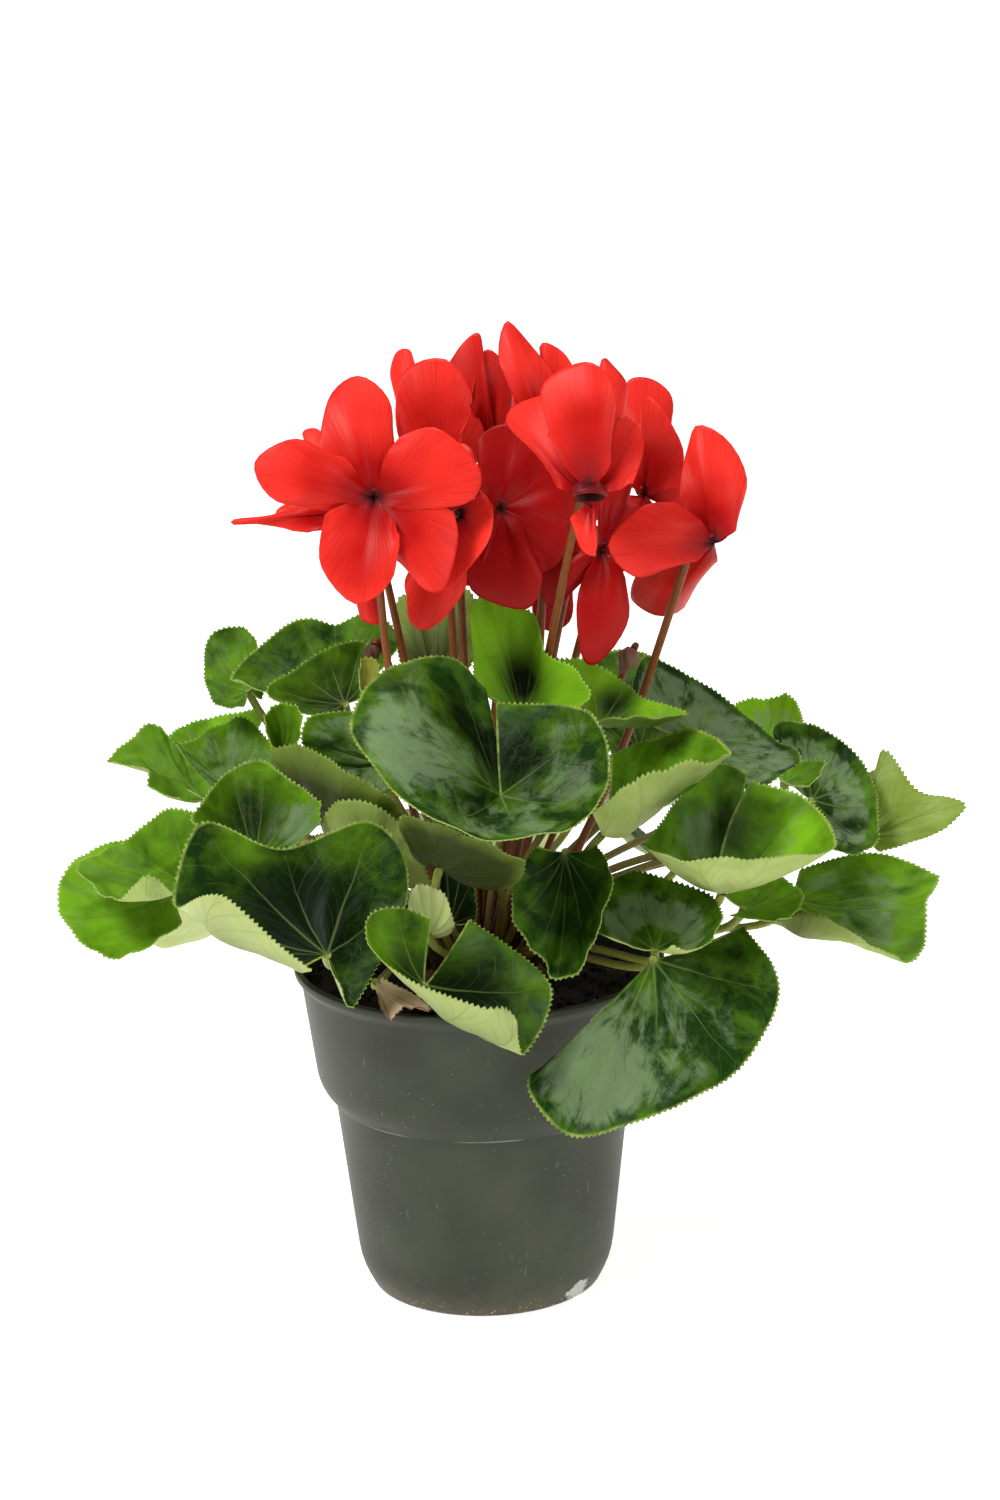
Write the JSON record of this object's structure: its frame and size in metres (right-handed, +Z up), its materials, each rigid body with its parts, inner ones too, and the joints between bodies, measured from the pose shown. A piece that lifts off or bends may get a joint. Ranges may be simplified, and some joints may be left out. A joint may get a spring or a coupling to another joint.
{
  "type": "potted cyclamen",
  "caption": "Flowering cyclamen in a tapered round plastic nursery pot, with red swept-back blooms above a spreading mound of toothed, silver-marked leaves.",
  "frame": {"origin": "middle of the pot's foot, on the surface that it stands on", "axes": "+Z up, the front of the plant faces -Y"},
  "size_m": [0.291, 0.23, 0.3133],
  "materials": {
    "pot_plastic": "dark grey-green, semi-matt, dusty",
    "soil": "dark moist peat, rough",
    "stalks": "red-brown to yellow-green, slightly fleshy",
    "leaf": "deep green with silver bands and bright green zones, pale underneath",
    "young_leaf": "yellow-green",
    "withered_leaf": "dry, pale pinkish beige",
    "petal": "vivid red, velvety, darker at the throat",
    "bud": "dull pink-brown"
  },
  "bodies": {
    "root": {"pot": "pot_plastic", "soil": "soil", "leaf_front_funnel": "leaf", "leaf_top_upright": "leaf", "leaf_top_right_wing": "leaf", "leaf_right_top": "leaf", "leaf_right_top_back": "leaf", "leaf_right_back": "leaf", "leaf_right_strip": "leaf", "leaf_far_right_pale": "leaf", "leaf_right_low": "leaf", "leaf_right_small": "leaf", "leaf_right_cup": "leaf", "leaf_right_folded": "leaf", "leaf_right_silver": "leaf", "leaf_right_hanging": "leaf", "leaf_centre_folded": "leaf", "leaf_band_centre": "leaf", "leaf_band_left": "leaf", "leaf_left_cup": "leaf", "leaf_left_big": "leaf", "leaf_front_low": "leaf", "leaf_left_rolled": "leaf", "leaf_far_left_low": "leaf", "leaf_left_bright": "leaf", "leaf_left_small_cup": "leaf", "leaf_left_silver": "leaf", "leaf_left_folded": "leaf", "leaf_left_grey": "leaf", "leaf_back_left_bright": "leaf", "leaf_back_left_dark": "leaf", "leaf_back_left_cup": "leaf", "leaf_back_centre_pale": "leaf", "leaf_inner_left": "leaf", "leaf_front_curled": "leaf", "leaf_inner_dark": "leaf", "leaf_back_right": "leaf", "leaf_young": "young_leaf", "leaf_withered": "withered_leaf", "leaf_back_1": "leaf", "leaf_back_2": "leaf", "leaf_back_3": "leaf", "leaf_back_4": "leaf", "leaf_back_5": "leaf", "leaf_back_6": "leaf", "bloom_front_left": "petal", "bloom_behind_left": "petal", "bloom_top_left": "petal", "bloom_top_back": "petal", "bloom_top_middle": "petal", "bloom_centre": "petal", "bloom_back_right": "petal", "bloom_right": "petal", "bloom_middle_left": "petal", "bloom_inner": "petal", "bloom_hanging": "petal", "bloom_back_low": "petal", "bud_right": "bud", "bud_left": "bud", "tuber_with_stalks": "stalks"}
  },
  "joints": []
}
